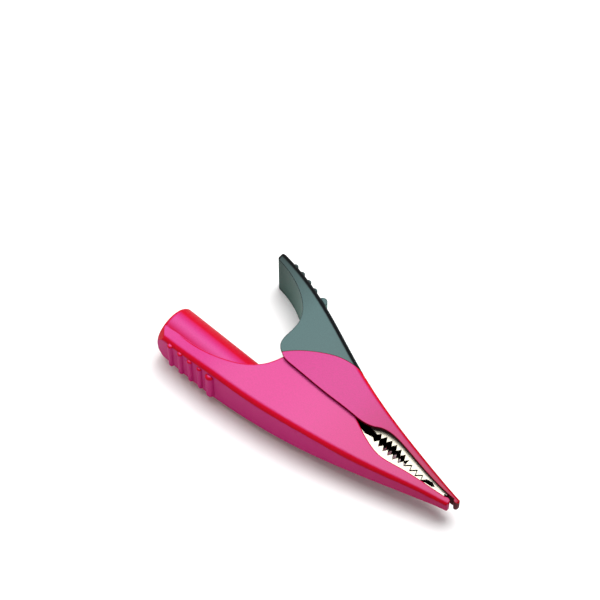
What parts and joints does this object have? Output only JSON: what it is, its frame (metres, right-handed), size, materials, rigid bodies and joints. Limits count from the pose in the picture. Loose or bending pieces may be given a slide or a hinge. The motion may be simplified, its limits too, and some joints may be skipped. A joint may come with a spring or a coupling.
{
  "type": "alligator clip",
  "caption": "Insulated spring clip: toothed steel jaws in a red plastic shell with a ribbed black thumb lever, and a shrouded socket for a test lead in its round tail.",
  "frame": {"origin": "centre of the lead socket's mouth, on the axis of the round tail", "axes": "+X from the socket's mouth towards the nose, +Y towards the thumb lever, +Z along the jaw's rivet; the clip is symmetric about Z = 0 and lies on its side"},
  "size_m": [0.1113, 0.0508, 0.019],
  "materials": {
    "red_plastic": "satin moulded, very finely grained",
    "black_plastic": "satin moulded",
    "jaw_nickel": "bright nickel-plated stamped steel",
    "contact_nickel": "nickel-plated turned brass",
    "steel": "plain turned steel",
    "spring_steel": "drawn spring wire"
  },
  "bodies": {
    "lower_jaw": {"lower_body_shell": "red_plastic", "lower_steel_jaw": "jaw_nickel", "socket_shroud": "black_plastic", "contact_sleeve": "black_plastic", "socket_contact": "contact_nickel", "lug_rivet": "steel", "pivot_rivet": "steel", "rivet_cap": "steel", "pivot_bush": "steel", "near_washer": "steel", "far_washer": "steel", "torsion_spring": "spring_steel"},
    "upper_jaw": {"upper_steel_jaw": "jaw_nickel", "upper_jaw_cover": "red_plastic", "thumb_lever": "black_plastic", "cover_pin": "steel", "lever_pin": "steel"}
  },
  "joints": [
    {"name": "jaw_hinge", "type": "hinge", "parent": "lower_jaw", "child": "upper_jaw", "pos_m": [0.0522, 0.0183, 0], "axis": [0, 0, 1], "range_deg": [0, 25], "stiffness_Nm_per_rad": 0.32, "springref_deg": -45.84, "deforming": ["torsion_spring"]}
  ]
}
